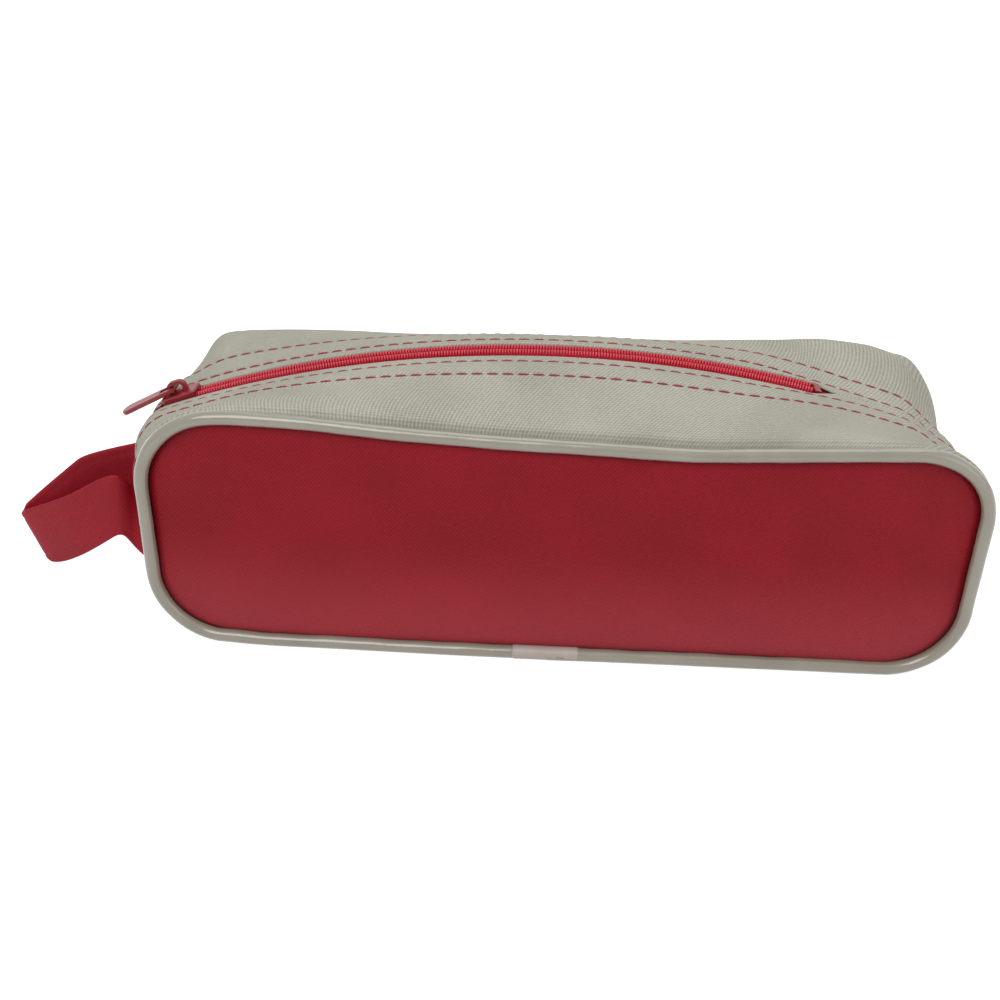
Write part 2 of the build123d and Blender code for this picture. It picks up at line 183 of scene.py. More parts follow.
def rounded_route(inset, count):
    """The piping's line, or one inside it, from the middle of the base round to the right."""
    reach, low, high = HALF_LENGTH - inset, PIPING_LOW + inset, PIPING_HIGH - inset
    corner = PIPING_CORNER - inset
    turn = np.radians(np.linspace(0, 90, 40))
    right, left = reach - corner, corner - reach
    parts = [
        [(0, low)],
        np.stack([right + corner * np.sin(turn), low + corner - corner * np.cos(turn)], 1),
        np.stack([right + corner * np.cos(turn), high - corner + corner * np.sin(turn)], 1),
        np.stack([left - corner * np.sin(turn), high - corner + corner * np.cos(turn)], 1),
        np.stack([left - corner * np.cos(turn), low + corner - corner * np.sin(turn)], 1),
        [(0, low)],
    ]
    line = np.concatenate(parts)
    along = np.concatenate([[0], np.cumsum(np.linalg.norm(np.diff(line, axis=0), axis=1))])
    even = np.linspace(0, along[-1], count)
    return np.stack([np.interp(even, along, line[:, 0]), np.interp(even, along, line[:, 1])], 1), even


def grid_faces(rows, columns):
    return [(i * columns + j, i * columns + j + 1, (i + 1) * columns + j + 1, (i + 1) * columns + j)
            for i in range(rows - 1) for j in range(columns - 1)]


def add_piece(name, points, faces, material, weave=None):
    """A smooth mesh from points in millimetres, with a cloth's own coordinates as its UV map."""
    mesh = bpy.data.meshes.new(name)
    mesh.from_pydata((np.asarray(points) * 0.001).tolist(), [], faces)
    if weave is not None:
        corners = np.zeros(len(mesh.loops), np.int32)
        mesh.loops.foreach_get("vertex_index", corners)
        layer = mesh.uv_layers.new(name="weave")
        layer.data.foreach_set("uv", np.asarray(weave, np.float32)[corners].ravel())
    mesh.polygons.foreach_set("use_smooth", [True] * len(mesh.polygons))
    mesh.materials.append(material)
    piece = bpy.data.objects.new(name, mesh)
    scene.collection.objects.link(piece)
    return piece


def finish_mesh(piece):
    """Applies what modifiers the piece has, so that its mesh is plain."""
    bpy.context.view_layer.update()
    made = bpy.data.meshes.new_from_object(piece.evaluated_get(bpy.context.evaluated_depsgraph_get()))
    piece.modifiers.clear()
    piece.data = made
    return piece


def give_cloth(piece, thickness):
    """Closes a sheet's own seams, turns its face outwards and lays its thickness on the inner side."""
    sheet = bmesh.new()
    sheet.from_mesh(piece.data)
    bmesh.ops.remove_doubles(sheet, verts=sheet.verts, dist=1e-7)
    sheet.normal_update()
    inside = Vector((0, 0, 0.03))
    if sum((f.calc_center_median() - inside).dot(f.normal) * f.calc_area() for f in sheet.faces) < 0:
        bmesh.ops.reverse_faces(sheet, faces=sheet.faces)
    sheet.to_mesh(piece.data)
    sheet.free()
    wall = piece.modifiers.new("thickness", "SOLIDIFY")
    wall.thickness = thickness * 0.001
    wall.offset = -1
    wall.use_even_offset = False
    return finish_mesh(piece)


def principled(name, **values):
    """A material with the shader's own values set on its sockets."""
    made = bpy.data.materials.new(name)
    made.use_nodes = True
    shader = made.node_tree.nodes["Principled BSDF"]
    for key, value in values.items():
        shader.inputs[key.replace("_", " ")].default_value = value
    return made, made.node_tree, shader


def twill(tree, shader, light, dark, pitch, depth, mottle, faded=None):
    """Diagonal ribs of a woven cloth in real millimetres, with crossing threads and uneven dye."""
    cloth = add_node(tree, "ShaderNodeUVMap", uv_map="weave")
    ribs_place = add_node(tree, "ShaderNodeMapping", {"Vector": cloth.outputs[0], "Rotation": (0, 0, 0.72)})
    ribs = add_node(tree, "ShaderNodeTexWave", {
        "Vector": ribs_place.outputs[0], "Scale": 0.314 / pitch, "Distortion": 0.6, "Detail": 1.0,
        "Detail Scale": 1.5}, bands_direction="X")
    threads = add_node(tree, "ShaderNodeTexWave", {
        "Vector": cloth.outputs[0], "Scale": 0.314 / (pitch * 0.72), "Distortion": 0.4}, bands_direction="Y")
    height = add_node(tree, "ShaderNodeMix", {0: 0.38, 2: ribs.outputs["Fac"], 3: threads.outputs["Fac"]})
    dye = add_node(tree, "ShaderNodeTexNoise", {"Vector": cloth.outputs[0], "Scale": 0.035, "Detail": 5.0})
    speck = add_node(tree, "ShaderNodeTexNoise", {"Vector": cloth.outputs[0], "Scale": 0.9, "Detail": 2.0})
    uneven = add_node(tree, "ShaderNodeMix", {0: 0.45, 2: dye.outputs[0], 3: speck.outputs[0]})
    patch = add_node(tree, "ShaderNodeMapRange", {
        "Value": uneven.outputs[0], "From Min": 0.35, "From Max": 0.65, "To Min": -mottle, "To Max": mottle})
    share = add_node(tree, "ShaderNodeMath", {0: height.outputs[0], 1: patch.outputs[0]}, operation="ADD",
                     use_clamp=True)
    tone = add_node(tree, "ShaderNodeMix", {
        0: share.outputs[0], 6: linear(dark), 7: linear(light)}, data_type="RGBA")
    tree.links.new(tone.outputs[2], shader.inputs["Base Color"])
    relief = add_node(tree, "ShaderNodeBump", {
        "Height": height.outputs[0], "Strength": 0.8, "Distance": depth * 0.001})
    tree.links.new(relief.outputs[0], shader.inputs["Normal"])


# Coated polyester: a satin face that shows its fine diagonal ribs and picks up a soft, dull shine.
# The real ribs are 0.5 mm apart; they are drawn at 0.8 mm so that they show.
red_canvas, tree, shader = principled("coated_red_polyester", Roughness=0.55, Specular_IOR_Level=0.2,
                                      Sheen_Weight=0.01, Sheen_Roughness=0.4)
twill(tree, shader, light="9a1221", dark="770815", pitch=0.9, depth=0.07, mottle=0.3)
# Painted reflection of the pale table: the face is drawn paler towards its foot.
twill_colour = shader.inputs["Base Color"].links[0].from_socket
upright = add_node(tree, "ShaderNodeSeparateXYZ", {0: add_node(tree, "ShaderNodeUVMap", uv_map="weave").outputs[0]})
# Share of the painted table reflection, rising from none at 44 mm to its most at the foot.
painted_reflection = add_node(tree, "ShaderNodeMapRange", {
    "Value": upright.outputs[1], "From Min": 44.0, "From Max": 4.0, "To Min": 0.0, "To Max": 0.38},
    interpolation_type="SMOOTHSTEP")
paler = add_node(tree, "ShaderNodeMix", {0: painted_reflection.outputs[0], 6: twill_colour, 7: linear("bb4c56")}, data_type="RGBA")
tree.links.new(paler.outputs[2], shader.inputs["Base Color"])


def make_panel(side):
    """Rings from the rim to the middle, on the outer face of the board."""
    around, count = 260, 34
    rim, along = rounded_route(PIPING_THICK - 0.5, around)
    centre = np.array([0.0, (PIPING_LOW + PIPING_HIGH) / 2])
    rings = []
    for r in np.linspace(1, 0, count) ** 0.75:
        flat = centre + (rim - centre) * r
        x, z = flat.T
        bow = 0.9 * (1 - r ** 6) + 0.8 * np.cos(x / 90) * (1 - r ** 2)
        ripple = 0.22 * np.sin(x / 21 + z / 34 + side) + 0.16 * np.sin(x / 11 - z / 19 + 2 * side)
        y = HALF_DEPTH - 1.35 + bow + 1.0 * (1 - r ** 18) + ripple * (1 - r ** 4)
        rings.append(np.stack([x, side * y, z], 1))
    points = settle(np.concatenate(rings))
    weave = np.stack([points[:, 0], points[:, 2]], 1)
    name = "front_panel_canvas" if side < 0 else "back_panel_canvas"
    panel = give_cloth(add_piece(name, points, grid_faces(count, around), red_canvas, weave), 1.2)
    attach(panel, "case")
    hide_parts("front_panel" if side < 0 else "back_panel")
    return panel


make_panel(-1)
make_panel(1)

# ---- Piping: a cord in a soft light vinyl cover, 4 mm thick, sewn into each seam. It is glossy,
# slightly uneven, and its two ends meet under a short wrap in the middle of the base.
piping_vinyl, tree, shader = principled("soft_vinyl", Roughness=0.2, IOR=1.53, Coat_Weight=0.55,
                                        Coat_Roughness=0.1)
place = add_node(tree, "ShaderNodeTexCoord")
grime = add_node(tree, "ShaderNodeTexNoise", {"Vector": place.outputs["Object"], "Scale": 60.0, "Detail": 4.0})
vinyl = add_node(tree, "ShaderNodeMix", {
    0: grime.outputs[0], 6: linear("847e6f"), 7: linear("a19c8c")}, data_type="RGBA")
tree.links.new(vinyl.outputs[2], shader.inputs["Base Color"])
dimple = add_node(tree, "ShaderNodeTexNoise", {"Vector": place.outputs["Object"], "Scale": 260.0, "Detail": 2.0})
skin = add_node(tree, "ShaderNodeBump", {"Height": dimple.outputs[0], "Strength": 0.35, "Distance": 0.0003})
tree.links.new(skin.outputs[0], shader.inputs["Normal"])


def tube(line, radii, side_axis, around):
    """Points of a tube along a line that stays in one plane; side_axis is that plane's normal."""
    ahead = np.gradient(line, axis=0)
    ahead /= np.linalg.norm(ahead, axis=1)[:, None]
    out = np.cross(ahead, side_axis)
    out /= np.linalg.norm(out, axis=1)[:, None]
    angles = np.linspace(0, 2 * pi, around, endpoint=False)
    ring = np.cos(angles)[None, :, None] * out[:, None] + np.sin(angles)[None, :, None] * side_axis
    return (line[:, None] + ring * radii[:, None, None]).reshape(-1, 3)


def tube_faces(rows, around):
    """Rounds of a tube and the two discs that close it."""
    faces = []
    for i in range(rows - 1):
        for j in range(around):
            k = (j + 1) % around
            faces.append((i * around + j, (i + 1) * around + j, (i + 1) * around + k, i * around + k))
    faces.append(tuple(range(around)))
    faces.append(tuple(range(rows * around - 1, (rows - 1) * around - 1, -1)))
    return faces


def face_outwards(piece):
    """Turns every face of a closed shape outwards."""
    shape = bpy.data.meshes.new(piece.name)
    work = bmesh.new()
    work.from_mesh(piece.data)
    bmesh.ops.remove_doubles(work, verts=work.verts, dist=1e-7)
    bmesh.ops.recalc_face_normals(work, faces=work.faces)
    work.to_mesh(shape)
    work.free()
    for material in piece.data.materials:
        shape.materials.append(material)
    piece.data = shape
    return piece


def make_piping(side):
    route, along = rounded_route(0, 620)
    line = np.stack([route[:, 0], np.full(len(route), side * HALF_DEPTH), route[:, 1]], 1)
    line[:, 1] += 0.25 * np.sin(along / 37 + side) + 0.12 * np.sin(along / 12)
    line = settle(line)
    thick = (PIPING_THICK + 0.12) * (1 + 0.02 * np.sin(along / 6.1) + 0.015 * np.sin(along / 2.3 + side))
    low = line[:, 2] - thick
    line[:, 2] += np.maximum(0, 0.03 - low)
    shape = tube(line, thick, np.array([0.0, 1.0, 0.0]), 18)
    name = "front" if side < 0 else "back"
    piping = face_outwards(add_piece(name + "_piping_cord", shape, tube_faces(len(line), 18), piping_vinyl))
    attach(piping, "case")
    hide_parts(name + "_piping")
    x = np.linspace(-11.0, 10.0, 60)
    wrap_line = settle(np.stack([x, np.full(60, side * HALF_DEPTH), np.full(60, PIPING_LOW + 0.32)], 1))
    wrap_line[:, 1] += side * 0.05
    edge = np.minimum(step(x, -11.2, -10.4), 1 - step(x, 9.3, 10.2))
    wrap_shape = tube(wrap_line, PIPING_THICK - 0.05 + 0.32 * edge, np.array([0.0, 1.0, 0.0]), 18)
    wrap = face_outwards(add_piece(name + "_piping_wrap", wrap_shape, tube_faces(60, 18), wrap_vinyl))
    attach(wrap, "case")
    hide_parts(name + "_piping_splice")


wrap_vinyl, tree, shader = principled("glued_vinyl_wrap", Roughness=0.4, IOR=1.53)
place = add_node(tree, "ShaderNodeTexCoord")
grime = add_node(tree, "ShaderNodeTexNoise", {"Vector": place.outputs["Object"], "Scale": 140.0})
vinyl = add_node(tree, "ShaderNodeMix", {
    0: grime.outputs[0], 6: linear("a89e95"), 7: linear("bdb3aa")}, data_type="RGBA")
tree.links.new(vinyl.outputs[2], shader.inputs["Base Color"])
make_piping(-1)
make_piping(1)

# ---- Gusset: stone-grey canvas, one strip that runs down the left end, under the base and up the
# right end, sewn to both panels. It swells a little at the ends and lies flat on the table.
SEAM_Y = 33.95
TUCK_Y = 34.7
WALL_X = 135.0
CANVAS = 1.2
stone_canvas, tree, shader = principled("stone_oxford_canvas", Roughness=0.85, Specular_IOR_Level=0.3,
                                        Sheen_Weight=0.04, Sheen_Roughness=0.5)
twill(tree, shader, light="c1bfb1", dark="989687", pitch=0.95, depth=0.08, mottle=0.25)


def arc_line(x, z, radius, start, end, count):
    angles = np.radians(np.linspace(start, end, count))
    return np.stack([x + radius * np.cos(angles), z + radius * np.sin(angles)], 1)


def straight(start, end, count):
    return np.linspace(np.array(start, float), np.array(end, float), count)


def join_lines(*lines):
    """Lines end to end, with each shared point kept once."""
    return np.concatenate([lines[0]] + [line[1:] for line in lines[1:]])


SHOULDER_Z = -260.5 + np.sqrt(334.0 ** 2 - 119.0 ** 2)
LEAN = degrees(asin(119.0 / 334.0))
under_seam = join_lines(
    straight((-127, 54), (-127, 24), 20), arc_line(-103, 24, 24, 180, 270, 34),
    straight((-103, 0), (103, 0), 110), arc_line(103, 24, 24, 270, 360, 34), straight((127, 24), (127, 54), 20))
under_middle = join_lines(
    straight((-135, SHOULDER_Z), (-135, 24), 20), arc_line(-111, 24, 24, 180, 270, 34),
    straight((-111, 0), (111, 0), 110), arc_line(111, 24, 24, 270, 360, 34), straight((135, 24), (135, SHOULDER_Z), 20))


def cloth_grid(seam, middle, widths):
    """Base points of the case's cloth and their outward normals. Widths holds each point's y."""
    v = np.clip(np.abs(widths) / SEAM_Y, 0, 1)
    w = (1 - v ** 2)[..., None]
    flat = seam[:, None] * (1 - w) + middle[:, None] * w
    points = np.stack([flat[..., 0], widths, flat[..., 1]], -1)
    normals = np.cross(np.gradient(points, axis=0), np.gradient(points, axis=1))
    normals /= np.linalg.norm(normals, axis=-1)[..., None] + 1e-12
    centre = np.array([0.0, 0.0, 30.0])
    flip = np.sign(((points - centre) * normals).sum(-1))
    return points, normals * np.where(flip == 0, 1, flip)[..., None]


def end_hollow(base):
    """The right end has fallen in round the end of the zip, on both sides of the cross seam."""
    x, y, z = base[..., 0], base[..., 1], base[..., 2]
    return -5.4 * (1 - step(np.abs(y), 17, 34)) * step(x, 106, 127) * step(z, 14, 46)


def run_length(points):
    """Distance along a grid's first way, taken at its middle column."""
    middle = points[:, points.shape[1] // 2]
    return np.concatenate([[0], np.cumsum(np.linalg.norm(np.diff(middle, axis=0), axis=1))])


def dented(points, seed):
    """Slow dents of cloth that has been filled and emptied many times, in millimetres."""
    x, y, z = points[..., 0], points[..., 1], points[..., 2]
    slow = np.sin(x / 19 + y / 14 + seed) + np.sin(z / 11 - y / 17 + 2.1 * seed)
    fast = np.sin(x / 9.1 - y / 8.3 + 3 * seed) + np.sin(z / 6.7 + y / 9.7 + seed)
    return 0.30 * slow + 0.14 * fast


widths = np.linspace(-TUCK_Y, TUCK_Y, 64)
widths = np.tile(widths, (len(under_seam), 1))
base, normals = cloth_grid(under_seam, under_middle, widths)
tucked = step(np.abs(widths), 31.3, TUCK_Y)
free = 1 - step(np.abs(widths), 27, 34)
on_end = step(base[..., 2], 2, 20)
lift = -1.5 * tucked + free * dented(base, 0.6) * on_end
lift += end_hollow(base)
ground = base + normals * lift[..., None]
ground[..., 2] = np.where(base[..., 2] < 3, np.maximum(ground[..., 2], 0.04 + 0.5 * tucked), ground[..., 2])
weave = np.stack([np.tile(run_length(base)[:, None], (1, widths.shape[1])), widths], -1).reshape(-1, 2)
gusset = add_piece("gusset_canvas", settle(ground.reshape(-1, 3)), grid_faces(*widths.shape), stone_canvas, weave)
give_cloth(gusset, CANVAS)
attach(gusset, "case")
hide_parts("base_gusset")

# ---- Zip tapes: knitted red polyester tape, 10 mm wide and 0.6 mm thick, sewn under each top
# strip along the arch. Each is parted at mid-length.
MOUTH_LEFT = -100.4
MOUTH_RIGHT = 64.3
PARTING = -18.0
SLOT = 4.6
ZIP_END = 81.0
over_seam = join_lines(
    arc_line(-103, 54, 24, 180, 90, 46), straight((-103, 78), (103, 78), 240), arc_line(103, 54, 24, 90, 0, 46))
over_middle = join_lines(
    arc_line(-119, SHOULDER_Z, 16, 180, 90 + LEAN, 46), arc_line(0, -260.5, 350, 90 + LEAN, 90 - LEAN, 240),
    arc_line(119, SHOULDER_Z, 16, 90 - LEAN, 0, 46))


def slot_edge(x):
    """Distance from the zip's middle to the folded edge of a strip."""
    return SLOT - (SLOT - 0.06) * step(x, 76.5, 87.5)


def places_along(mesh, shape):
    """Each face's place along the case. A row of cloth has one place, and so has a whole turn or
    stitch, of which shape is the number of points, so that a parting cuts through neither."""
    x = np.array([vertex.co.x for vertex in mesh.vertices]) * 1000
    if shape:
        middles = x.reshape(-1, shape).mean(1)
        return [middles[face.vertices[0] // shape] for face in mesh.polygons]
    run = np.array([corner.uv[0] for corner in mesh.uv_layers["weave"].data])
    at = np.array([loop.vertex_index for loop in mesh.loops])
    offset = PARTING - np.median(run[np.abs(x[at] - PARTING) < 0.6])
    return [run[list(face.loop_indices)].mean() + offset for face in mesh.polygons]


def fold_in_halves(whole, side, slot, *replaced, shape=None):
    """Parts a finished piece at mid-length into a left and a right half, each closed at the cut.
    Both halves keep the shading of the whole."""
    whole.data.update()
    shading = [v.vector[:] for v in whole.data.vertex_normals]
    places = places_along(whole.data, shape)
    for half, way, start, end in (("left", 1, MOUTH_LEFT, -34.0), ("right", -1, MOUTH_RIGHT, 4.0)):
        mesh = whole.data.copy()
        work = bmesh.new()
        work.from_mesh(mesh)
        number = work.verts.layers.int.new("number")
        for vertex in work.verts:
            vertex[number] = vertex.index
        beyond = [face for face, place in zip(work.faces, places) if (place - PARTING) * way > 0]
        bmesh.ops.delete(work, geom=beyond, context="FACES")
        bmesh.ops.holes_fill(work, edges=[edge for edge in work.edges if edge.is_boundary])
        kept = [vertex[number] for vertex in work.verts]
        work.verts.layers.int.remove(number)
        work.to_mesh(mesh)
        work.free()
        mesh.normals_split_custom_set_from_vertices([shading[i] for i in kept])
        piece = bpy.data.objects.new(f"{whole.name}_{half}", mesh)
        mesh.name = piece.name
        scene.collection.objects.link(piece)
        if replaced:
            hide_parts(*replaced)
        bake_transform(piece)
    bpy.data.objects.remove(whole)


zip_tape, tree, shader = principled("knitted_polyester_tape", Roughness=0.7, Sheen_Weight=0.2, Sheen_Roughness=0.4)
cloth = add_node(tree, "ShaderNodeUVMap", uv_map="weave")
# Knit courses run across the tape, 0.6 mm apart as they are on the real one.
courses = add_node(tree, "ShaderNodeTexWave", {"Vector": cloth.outputs[0], "Scale": 0.314 / 0.6,
                                               "Distortion": 0.8}, bands_direction="X")
wales = add_node(tree, "ShaderNodeTexWave", {"Vector": cloth.outputs[0], "Scale": 0.314 / 0.9}, bands_direction="Y")
knit = add_node(tree, "ShaderNodeMix", {0: 0.5, 2: courses.outputs["Fac"], 3: wales.outputs["Fac"]})
red = add_node(tree, "ShaderNodeMix", {0: knit.outputs[0], 6: linear("bd2535"), 7: linear("d83444")},
               data_type="RGBA")
tree.links.new(red.outputs[2], shader.inputs["Base Color"])
relief = add_node(tree, "ShaderNodeBump", {"Height": knit.outputs[0], "Strength": 0.7, "Distance": 0.00008})
tree.links.new(relief.outputs[0], shader.inputs["Normal"])

line_x = over_middle[:, 0]
for side, name in ((-1, "front"), (1, "back")):
    keep = line_x <= ZIP_END + 6
    widths = np.tile(side * np.linspace(0.12, 10.9, 12), (int(keep.sum()), 1))
    base, normals = cloth_grid(over_seam[keep], over_middle[keep], widths)
    lift = -1.32 + 0.05 * np.sin(base[..., 0] / 4)
    weave = np.stack([np.tile(run_length(base)[:, None], (1, 12)), widths], -1).reshape(-1, 2)
    tape = add_piece(f"{name}_tape", (base + normals * lift[..., None]).reshape(-1, 3),
                     grid_faces(*widths.shape), zip_tape, weave)
    fold_in_halves(give_cloth(tape, 0.55), side, "zip_tape", f"{name}_zip_tape", f"{name}_zip_tape_ends")

# ---- Zip coils: one nylon thread wound into a flat spring and sewn to the edge of each tape. Its
# turns stand 0.9 mm apart, each with a rounded head that faces the other row.
COIL_PITCH = 0.9
zip_nylon, tree, shader = principled("dyed_nylon", Roughness=0.36, IOR=1.53)
place = add_node(tree, "ShaderNodeTexCoord")
drawn = add_node(tree, "ShaderNodeTexNoise", {"Vector": place.outputs["Object"], "Scale": 500.0, "Detail": 3.0})
nylon = add_node(tree, "ShaderNodeMix", {0: drawn.outputs[0], 6: linear("c4283a"), 7: linear("dd3a4b")},
                 data_type="RGBA")
tree.links.new(nylon.outputs[2], shader.inputs["Base Color"])


def coil_tree():
    """One turn of nylon thread on every point of a line, turned to follow it."""
    made = bpy.data.node_groups.new("coil_turns", "GeometryNodeTree")
    for label, kind, direction in (
        ("Line", "NodeSocketGeometry", "INPUT"), ("Pitch", "NodeSocketFloat", "INPUT"),
        ("Thread", "NodeSocketFloat", "INPUT"), ("Width", "NodeSocketFloat", "INPUT"),
        ("Height", "NodeSocketFloat", "INPUT"), ("Nylon", "NodeSocketMaterial", "INPUT"),
        ("Coil", "NodeSocketGeometry", "OUTPUT"),
    ):
        made.interface.new_socket(name=label, in_out=direction, socket_type=kind)
    given = add_node(made, "NodeGroupInput")
    spaced = add_node(made, "GeometryNodeResampleCurve", {
        "Curve": given.outputs["Line"], "Length": given.outputs["Pitch"]}, mode="LENGTH")
    loop = add_node(made, "GeometryNodeCurvePrimitiveCircle", {"Resolution": 10, "Radius": 1.0}, mode="RADIUS")
    size = add_node(made, "ShaderNodeCombineXYZ", {
        "X": given.outputs["Width"], "Y": given.outputs["Height"], "Z": 1.0})
    flat = add_node(made, "GeometryNodeTransform", {"Geometry": loop.outputs[0], "Scale": size.outputs[0]})
    section = add_node(made, "GeometryNodeCurvePrimitiveCircle", {
        "Resolution": 5, "Radius": given.outputs["Thread"]}, mode="RADIUS")
    turn = add_node(made, "GeometryNodeCurveToMesh", {
        "Curve": flat.outputs[0], "Profile Curve": section.outputs[0]})
    tangent = add_node(made, "GeometryNodeInputTangent")
    ahead = add_node(made, "FunctionNodeAlignRotationToVector", {
        "Vector": tangent.outputs[0]}, axis="Z", pivot_axis="Y")
    placed = add_node(made, "GeometryNodeInstanceOnPoints", {
        "Points": spaced.outputs[0], "Instance": turn.outputs[0], "Rotation": ahead.outputs[0]})
    real = add_node(made, "GeometryNodeRealizeInstances", {0: placed.outputs[0]})
    smooth = add_node(made, "GeometryNodeSetShadeSmooth", {0: real.outputs[0]})
    dyed = add_node(made, "GeometryNodeSetMaterial", {
        "Geometry": smooth.outputs[0], "Material": given.outputs["Nylon"]})
    add_node(made, "NodeGroupOutput", {"Coil": dyed.outputs[0]})
    return made


def line_object(name, points):
    """A poly curve through points given in millimetres."""
    curve = bpy.data.curves.new(name, "CURVE")
    curve.dimensions = "3D"
    spline = curve.splines.new("POLY")
    spline.points.add(len(points) - 1)
    spline.points.foreach_set("co", np.column_stack([points * 0.001, np.ones(len(points))]).ravel())
    made = bpy.data.objects.new(name, curve)
    scene.collection.objects.link(made)
    return made


def grow_on_line(name, points, tree, values, material):
    """Runs a node tree on a line and keeps its result as a plain mesh."""
    guide = line_object(name + "_guide", points)
    modifier = guide.modifiers.new("grown", "NODES")
    modifier.node_group = tree
    for socket in tree.interface.items_tree:
        if socket.in_out == "INPUT" and socket.name in values:
            modifier[socket.identifier] = values[socket.name]
    bpy.context.view_layer.update()
    mesh = bpy.data.meshes.new_from_object(guide.evaluated_get(bpy.context.evaluated_depsgraph_get()))
    if not mesh.materials:
        mesh.materials.append(material)
    mesh.name = name
    made = bpy.data.objects.new(name, mesh)
    scene.collection.objects.link(made)
    bpy.data.objects.remove(guide)
    return made


coil_turns = coil_tree()
TURN_POINTS = 10 * 5
COIL_MIDDLE = 1.75
coil_reach = (line_x >= -123.5) & (line_x <= 78.7)
for side, name in ((-1, "front"), (1, "back")):
    across = side * np.array([COIL_MIDDLE - 0.3, COIL_MIDDLE, COIL_MIDDLE + 0.3])
    widths = np.tile(across, (int(coil_reach.sum()), 1))
    base, normals = cloth_grid(over_seam[coil_reach], over_middle[coil_reach], widths)
    coil = grow_on_line(f"{name}_coil", (base - normals * 0.42)[:, 1], coil_turns, {
        "Pitch": COIL_PITCH * 0.001, "Thread": 0.0004, "Width": 0.00116, "Height": 0.00054,
        "Nylon": zip_nylon}, zip_nylon)
    fold_in_halves(coil, side, "zip_coil", f"{name}_zip_coil", f"{name}_zip_coil_ends", shape=TURN_POINTS)

# ---- Top strips: two strips of the same canvas from end to end, each folded under beside the zip
# and stitched down, so that a raised double band runs along the slot. They stand proud at the back.
HEM_INNER = 3.7
HEM_OUTER = 10.5
front_puff = measured([-135, -118, -97, -60, 0, 45, 80, 104, 120, 135],
                      [-1.0, 0.5, 2.2, 1.8, 1.4, 1.6, 2.6, 2.4, 0.4, -1.0])
back_puff = measured([-135, -122, -114, -106, -90, -66, -40, 0, 40, 72, 84, 100, 112, 120, 128, 135],
                     [-1.5, 0.0, 6.6, 8.6, 7.6, 6.2, 4.2, 3.0, 4.8, 7.8, 10.0, 11.2, 9.0, 3.4, 0.0, -1.0], 12)


def strip_widths(x, count_hem, count_rest):
    """Distance of each point from the zip's middle, close together over the hem."""
    edge = slot_edge(x)[:, None]
    hem = np.linspace(0, 1, count_hem) ** 1.25 * 12.5
    rest = np.linspace(0, 1, count_rest + 1)[1:]
    start = edge + 12.5
    return np.concatenate([edge + hem, start + (TUCK_Y - start) * rest], 1)


def row_shift(x):
    """The rows close in on the zip's end more slowly than the folded edge does."""
    return SLOT * (step(x, 76.5, 87.5) - step(x, 56.0, 100.0))


def hem_lift(distance, shift):
    """Two layers of cloth from the fold to the outer row, drawn down at each row of stitches."""
    inner, outer = distance - HEM_INNER - shift, distance - HEM_OUTER - shift
    doubled = 0.75 * (1 - step(outer, 0.2, 1.9))
    pillow = 0.35 * np.sin(pi * np.clip(inner / (HEM_OUTER - HEM_INNER), 0, 1))
    rows = 0.42 * (np.exp(-(inner / 0.6) ** 2) + np.exp(-(outer / 0.6) ** 2))
    fold = 0.85 * (1 - np.sqrt(np.clip(distance / 0.9, 0, 1)))
    return doubled + pillow - rows - fold


def strip_shape(side, distances=None):
    """Points of a strip's outer face, or of lines on it at given distances from its folded edge."""
    x = line_x
    if distances is None:
        reach = strip_widths(x, 26, 30)
    else:
        reach = (slot_edge(x) + row_shift(x))[:, None] + np.tile(np.asarray(distances, float), (len(x), 1))
    base, normals = cloth_grid(over_seam, over_middle, side * reach)
    beyond = np.clip((reach - 6.0) / (SEAM_Y - 6.0), 0, 1)
    puffed = beyond ** 1.3 * (1 - beyond ** 6) / 0.566
    puff = (front_puff if side < 0 else back_puff)(base[..., 0])
    tucked = step(reach, 32.2, TUCK_Y)
    loose = step(reach, 16, 22) * (1 - step(reach, 28, 34))
    lift = hem_lift(reach - slot_edge(x)[:, None], row_shift(x)[:, None]) + puffed * puff - 2.0 * tucked
    lift += loose * dented(base, 1.7 + side) + end_hollow(base)
    up = normals + np.array([0, 0, 0.35]) * puffed[..., None]
    up /= np.linalg.norm(up, axis=-1)[..., None]
    return base + up * lift[..., None], base, side * reach


for side, name in ((-1, "front"), (1, "back")):
    shape, base, widths = strip_shape(side)
    weave = np.stack([np.tile(run_length(base)[:, None], (1, widths.shape[1])), widths], -1).reshape(-1, 2)
    strip = add_piece(f"{name}_strip", settle(shape.reshape(-1, 3)), grid_faces(*widths.shape), stone_canvas, weave)
    fold_in_halves(give_cloth(strip, CANVAS), side, "stone_canvas", f"{name}_strip_lip", f"{name}_strip_ends")

# ---- Topstitching: heavy red thread in two rows along each strip, 5 mm to a stitch. Every stitch
# is a short length of thread that dives into the cloth at both ends.
STITCH_PITCH = 4.6
red_thread, tree, shader = principled("spun_polyester_thread", Roughness=0.6, Sheen_Weight=0.15)
place = add_node(tree, "ShaderNodeTexCoord")
ply = add_node(tree, "ShaderNodeTexNoise", {"Vector": place.outputs["Object"], "Scale": 900.0, "Detail": 2.0})
thread = add_node(tree, "ShaderNodeMix", {0: ply.outputs[0], 6: linear("74202c"), 7: linear("9c3742")},
                  data_type="RGBA")
tree.links.new(thread.outputs[2], shader.inputs["Base Color"])


